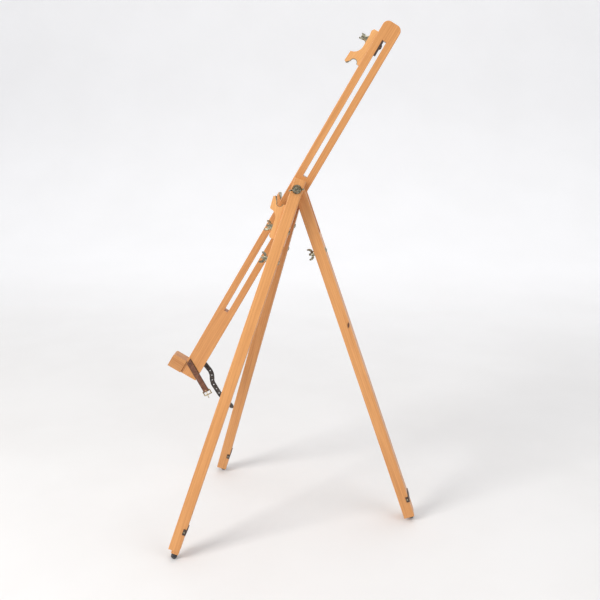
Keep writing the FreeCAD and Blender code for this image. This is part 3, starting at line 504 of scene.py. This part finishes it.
# %% Strip with holes
def strip_mesh(name, line, sideways, facing, along, half_width, thick, holes, columns,
               ends=(0.0, 0.0)):
    """A closed strip. Point (i, j) lies at line[i] + v * sideways[i] +- thick / 2 * facing[i], where v
    runs from minus to plus half_width[i]. The half thickness falls off towards the two edges with the
    eighth power of v, which rounds them. holes are (place along, radius) in metres. Both ends are cut
    back by ends[0] + ends[1] * v, so a second number other than 0 gives a slanting cut."""
    rows = len(along)
    share = np.linspace(-1.0, 1.0, columns)
    v = half_width[:, None] * share[None, :]
    cut = ends[0] + ends[1] * v
    u = cut + along[:, None] / along[-1] * (along[-1] - 2 * cut)
    kept = np.ones((rows - 1, columns - 1), bool)
    middle_u = (u[:-1, :-1] + u[1:, 1:]) / 2
    middle_v = (v[:-1, :-1] + v[1:, 1:]) / 2
    for place, radius in holes:
        kept &= np.hypot(middle_u - place, middle_v) > radius
    loose = np.zeros((rows, columns), int)
    for i in (0, 1):
        for j in (0, 1):
            loose[i:rows - 1 + i, j:columns - 1 + j] += ~kept
    for place, radius in holes:
        away = np.hypot(u - place, v)
        rim = (loose > 0) & (loose < 4) & (away < radius * 1.8) & (away > 1e-9)
        u[rim], v[rim] = place + (u - place)[rim] * radius / away[rim], v[rim] * radius / away[rim]
    base = np.stack([np.interp(u, along, line[:, k]) for k in range(3)], -1)
    across = np.stack([np.interp(u, along, sideways[:, k]) for k in range(3)], -1)
    out = np.stack([np.interp(u, along, facing[:, k]) for k in range(3)], -1)
    lift = thick / 2 * (1.0 - 0.45 * np.abs(share[None, :]) ** 8)[..., None]
    flat = base + v[..., None] * across
    points = np.concatenate([(flat + out * lift).reshape(-1, 3), (flat - out * lift).reshape(-1, 3)])
    index = np.arange(rows * columns).reshape(rows, columns)
    under = rows * columns
    a, b, c, d = index[:-1, :-1], index[1:, :-1], index[1:, 1:], index[:-1, 1:]
    top = np.stack([a, b, c, d], -1)[kept]
    faces = [top, top[:, ::-1] + under]
    edges = {"start": (a, d, -1, 0), "end": (c, b, 1, 0), "low": (b, a, 0, -1), "high": (d, c, 0, 1)}
    framed = np.pad(kept, 1)
    for first, second, di, dj in edges.values():
        beside = framed[1 + di:rows + di, 1 + dj:columns + dj]
        open_side = kept & ~beside
        p, q = first[open_side], second[open_side]
        faces.append(np.stack([p, q, q + under, p + under], -1))
    faces = np.concatenate(faces)
    mesh = bpy.data.meshes.new(name)
    mesh.from_pydata(points.tolist(), [], faces.tolist())
    chart = np.concatenate([np.stack([u, v], -1).reshape(-1, 2)] * 2) * 1000.0
    corners = np.empty(len(mesh.loops), np.int32)
    mesh.loops.foreach_get("vertex_index", corners)
    mesh.uv_layers.new(name="strap").data.foreach_set("uv", chart[corners].astype(np.float32).ravel())
    mesh.polygons.foreach_set("use_smooth", np.ones(len(faces), bool))
    mesh.validate()
    strip = bpy.data.objects.new(name, mesh)
    bpy.context.scene.collection.objects.link(strip)
    return strip


def strap_frame(nail, drop):
    """A strap's own place and directions: its nail, the way it runs at drop degrees below level, and the
    way across it."""
    angle = math.radians(drop)
    ahead = np.array([math.cos(angle), 0.0, -math.sin(angle)])
    upward = np.array([math.sin(angle), 0.0, math.cos(angle)])
    return np.array(nail), ahead, upward


def heading_of(line, along):
    """The line's direction at each point, as a length of one: its change over the way along it."""
    slope = np.gradient(line, along, axis=0)
    return slope / np.linalg.norm(slope, axis=1)[:, None]


# %% [markdown]
# ## Brown strap
# The strap with the buckle is one long piece folded round the buckle's bar, so it is two leathers
# thick. Its line goes out along the inner layer, round the bar, and back along the outer layer. A
# slit in the fold lets the buckle's tongue through. Its nailed end is cut level with the mast's edge.

# %% Brown strap's line
MM = 0.001
LEVEL = np.array([0.0, 1.0, 0.0])
BROWN_HALF, BROWN_WALL = 7.15 * MM, 1.02 * MM
BEHIND_NAIL, OPENS_AT, BAR_AT = -11.2 * MM, 72.0 * MM, 79.5 * MM
LAYER, FOLD, MIDDLE_Y = 0.53 * MM, 1.85 * MM, -1.1 * MM
STRAIGHT_STEPS, BAR_STEPS = 190, 26
nail, ahead, upward = strap_frame((HEAD_X - 0.26677, -0.011, 0.40143), 61.8)
out_x = np.linspace(BEHIND_NAIL, OPENS_AT, STRAIGHT_STEPS)
ease = np.linspace(0.0, 1.0, 20)[1:-1]
bend_x = OPENS_AT + ease * (BAR_AT - OPENS_AT)
swing = LAYER + ease ** 2 * (3 - 2 * ease) * (FOLD - LAYER)
round_bar = np.linspace(np.pi / 2, -np.pi / 2, BAR_STEPS)
flat_y = np.full(STRAIGHT_STEPS, LAYER)
line_x = np.concatenate([out_x, bend_x, BAR_AT + FOLD * np.cos(round_bar), bend_x[::-1], out_x[::-1]])
line_y = MIDDLE_Y + np.concatenate([flat_y, swing, FOLD * np.sin(round_bar), -swing[::-1], -flat_y])
line = nail + line_x[:, None] * ahead + line_y[:, None] * LEVEL
along = np.concatenate([[0.0], np.cumsum(np.linalg.norm(np.diff(line, axis=0), axis=1))])
sideways = np.repeat(upward[None, :], len(line), 0)
facing = np.cross(sideways, heading_of(line, along))
print("brown strap, unfolded: %.0f mm" % (along[-1] / MM))

# %% Brown strap
BROWN_FACE = (0.155, 0.052, 0.024, 1)
BROWN_BURNISH = (0.050, 0.018, 0.010, 1)
BROWN_RUB = (0.34, 0.15, 0.08, 1)
SLANT = math.tan(math.radians(30.7))
half_width = np.full(len(line), BROWN_HALF)
middle = along[STRAIGHT_STEPS + len(ease) + BAR_STEPS // 2]
slit = [(middle + step * MM, 1.4 * MM) for step in np.arange(-3.2, 3.3, 0.4)]
brown_strap = strip_mesh("brown_strap", line, sideways, facing, along, half_width, BROWN_WALL,
                         slit, 37, ends=(4.9 * MM, -SLANT))
brown_strap.data.materials.append(
    leather("brown_leather", BROWN_FACE, BROWN_BURNISH, BROWN_RUB, 0.55, 7.15))
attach(brown_strap, "mast")
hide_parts("buckle_strap")
print("brown strap:", len(brown_strap.data.polygons), "faces")

# %% [markdown]
# ## Black strap
# The other strap is a single leather with a row of holes. It comes out from behind the mast, hangs
# down and swings out to its free end. Its line is straight runs and gentle arcs. Leather resists
# bending in its own plane, so at the sharpest bend the strap turns partly on edge, which narrows it.

# %% Black strap's line
BLACK_HALF, BLACK_WALL = 5.9 * MM, 2.0 * MM
BEND_RADIUS, STEP = 30.0, 0.45
TWIST, TWIST_AT, TWIST_REACH = math.radians(44.0), 82.0, 15.0
RUNS_AND_BENDS = [
    (49.5, 0.0), (None, 36.4), (7.5, 0.0), (None, -29.5), (25.6, 0.0), (None, -12.4), (44.0, 0.0)]
nail, ahead, upward = strap_frame((HEAD_X - 0.25061, 0.011, 0.41252), 53.1)
walked = [np.array([[0.0, 0.0]])]
angle = 0.0
for run, bend in RUNS_AND_BENDS:
    length = run if run else BEND_RADIUS * math.radians(abs(bend))
    steps = np.linspace(0.0, length, max(2, int(length / STEP)))[1:]
    walked.append(np.stack([np.diff(steps, prepend=0.0), angle + math.radians(bend) * steps / length], -1))
    angle += math.radians(bend)
stride, angles = np.concatenate(walked).T
along = np.cumsum(stride) * MM
flat_x = -6.5 * MM + np.cumsum(stride * np.cos(angles)) * MM
flat_z = -np.cumsum(stride * np.sin(angles)) * MM
line = nail + flat_x[:, None] * ahead + flat_z[:, None] * upward + 1.1 * MM * LEVEL
heading = heading_of(line, along)
nearness = np.clip(1.0 - np.abs(along / MM - TWIST_AT) / TWIST_REACH, 0.0, 1.0)
twist = TWIST * nearness ** 2 * (3 - 2 * nearness)
plain = np.cross(heading, LEVEL)
sideways = plain * np.cos(twist)[:, None] + LEVEL * np.sin(twist)[:, None]
facing = np.cross(sideways, heading)
print("black strap: %.0f mm" % (along[-1] / MM))

# %% Black strap
BLACK_FACE = (0.030, 0.025, 0.024, 1)
BLACK_BURNISH = (0.010, 0.009, 0.009, 1)
BLACK_RUB = (0.17, 0.14, 0.12, 1)
HOLES, FIRST_HOLE, HOLE_PITCH, HOLE_RADIUS = 9, 14.0, 12.6, 1.5
ROUNDED = BLACK_HALF * 1.8
tip = along[-1]
to_tip = np.clip((along - (tip - ROUNDED)) / ROUNDED, 0.0, 1.0)
half_width = BLACK_HALF * np.sqrt(np.clip(1.0 - to_tip ** 2.4, 0.02, 1.0))
punched = [(tip - (FIRST_HOLE + HOLE_PITCH * k) * MM, HOLE_RADIUS * MM) for k in range(HOLES)]
black_strap = strip_mesh("black_strap", line, sideways, facing, along, half_width, BLACK_WALL,
                         punched, 29)
black_strap.data.materials.append(
    leather("black_leather", BLACK_FACE, BLACK_BURNISH, BLACK_RUB, 0.75, 5.9))
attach(black_strap, "mast")
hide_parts("punched_strap")
print("black strap:", len(black_strap.data.polygons), "faces,", len(punched), "holes")

# %% [markdown]
# ## Floor and backdrop
# The easel stands on a pale sweep that rises behind it into the backdrop, as in a studio. The sweep
# is one surface: flat, then a quarter circle, then upright. It has the faintest mottling, and it
# carries a faint painted glow, emission rising from behind the easel upwards in place of lamps on
# the backdrop.

# %% Sweep
REACH, TOP, BEHIND, RADIUS = 7.0, 6.0, 3.2, 2.4
PAPER, PAPER_MOTTLE = (0.800, 0.787, 0.775, 1), (0.825, 0.813, 0.803, 1)
GLOW, HIGH_GLOW = (0.330, 0.336, 0.350, 1), (0.270, 0.276, 0.290, 1)
turn = np.linspace(0.0, np.pi / 2, 25)
profile_y = np.concatenate([[-REACH], BEHIND + RADIUS * np.sin(turn), [BEHIND + RADIUS]])
profile_z = np.concatenate([[0.0], RADIUS - RADIUS * np.cos(turn), [TOP]])
across = np.linspace(-REACH, REACH, 9)
grid_x, grid_y = np.meshgrid(across, profile_y)
grid_z = np.repeat(profile_z[:, None], len(across), 1)
points = np.stack([grid_x, grid_y, grid_z], -1).reshape(-1, 3)
index = np.arange(len(points)).reshape(grid_x.shape)
faces = np.stack([index[:-1, :-1], index[:-1, 1:], index[1:, 1:], index[1:, :-1]], -1).reshape(-1, 4)
mesh = bpy.data.meshes.new("studio_sweep")
mesh.from_pydata(points.tolist(), [], faces.tolist())
mesh.polygons.foreach_set("use_smooth", np.ones(len(faces), bool))
sweep = bpy.data.objects.new("studio_sweep", mesh)
bpy.context.scene.collection.objects.link(sweep)
paper, tree, shader = new_material("backdrop_paper", (0.9, 0.9, 0.9))
spot = own_points(tree, scale=1.0)
mottle = noise(tree, spot, 2.5, detail=4.0)
feed(tree, shader.inputs["Base Color"], tint(tree, ramp(tree, mottle, 0.3, 0.7), PAPER, PAPER_MOTTLE))
shader.inputs["Roughness"].default_value = 0.85
level = tree.nodes.new("ShaderNodeSeparateXYZ")
feed(tree, level.inputs[0], spot)
# Painted glow: emission on the paper, brighter behind the easel and up the backdrop.
low_glow = tint(tree, ramp(tree, level.outputs["Y"], 0.3, 3.4), (0, 0, 0, 1), GLOW)
glow = tint(tree, ramp(tree, level.outputs["Z"], 0.1, 1.4), low_glow, HIGH_GLOW)
feed(tree, shader.inputs["Emission Color"], glow)
shader.inputs["Emission Strength"].default_value = 1.0
mesh.materials.append(paper)
print("sweep:", len(faces), "faces")

# %% [markdown]
# ## Light
# The main light is soft and comes from the left and in front, with a weaker one opposite, one above,
# and a bright even surround, so that the shadows under the feet are soft. A large lamp close by gives
# softer shadows than a small one, which is why each is a square of more than a metre.


# %% Lamps
def soft_light(name, place, aim, size, watts, colour):
    """A square area light at a place, turned to shine on a point."""
    data = bpy.data.lights.new(name, "AREA")
    data.shape = "SQUARE"
    data.size = size
    data.energy = watts
    data.color = colour
    lamp = bpy.data.objects.new(name, data)
    lamp.location = place
    lamp.rotation_euler = (Vector(aim) - Vector(place)).to_track_quat("-Z", "Y").to_euler()
    bpy.context.scene.collection.objects.link(lamp)
    return lamp


soft_light("key", (-2.5, -2.1, 2.3), (0, 0, 0.55), 1.5, 90.0, (1.0, 0.985, 0.96))
soft_light("fill", (2.6, -1.6, 1.9), (0, 0, 0.5), 2.4, 30.0, (0.97, 0.985, 1.0))
soft_light("top", (0.2, 0.6, 3.6), (0, 0, 0.4), 2.6, 30.0, (1.0, 1.0, 1.0))
world = bpy.data.worlds.new("studio")
world.use_nodes = True
surround = world.node_tree.nodes["Background"]
surround.inputs["Color"].default_value = (0.96, 0.97, 1.0, 1.0)
surround.inputs["Strength"].default_value = 0.52
bpy.context.scene.world = world
print("three soft lights and the surround")

# %% [markdown]
# ## Camera
# The camera looks at the easel from its side and a little above, from about 1.7 metres. Its place is
# worked out from the direction it looks in and the point it looks at, and it leans by a fraction of a
# degree.

# %% Camera
TURN, TILT, LEAN = 0.0863, 0.2541, -0.00475
DISTANCE, AIM = 1.6874, np.array([HEAD_X + 0.0014, 0.0, 0.5623])
FOCAL_LENGTH, SENSOR = 42.914, 36.0
ahead = np.array([-math.sin(TURN) * math.cos(TILT), math.cos(TURN) * math.cos(TILT), -math.sin(TILT)])
right = np.array([math.cos(TURN), math.sin(TURN), 0.0])
upright = np.cross(right, ahead)
leant_right = right * math.cos(LEAN) + upright * math.sin(LEAN)
leant_up = -right * math.sin(LEAN) + upright * math.cos(LEAN)
lens = bpy.data.cameras.new("camera")
lens.sensor_width = SENSOR
lens.lens = FOCAL_LENGTH
camera = bpy.data.objects.new("camera", lens)
bpy.context.scene.collection.objects.link(camera)
turned = Matrix(np.array([leant_right, leant_up, -ahead]).T.tolist()).to_4x4()
camera.matrix_world = Matrix.Translation((AIM - DISTANCE * ahead).tolist()) @ turned
bpy.context.scene.camera = camera
bpy.context.scene.view_settings.view_transform = "Standard"
print("camera at", [round(x, 3) for x in camera.matrix_world.translation])
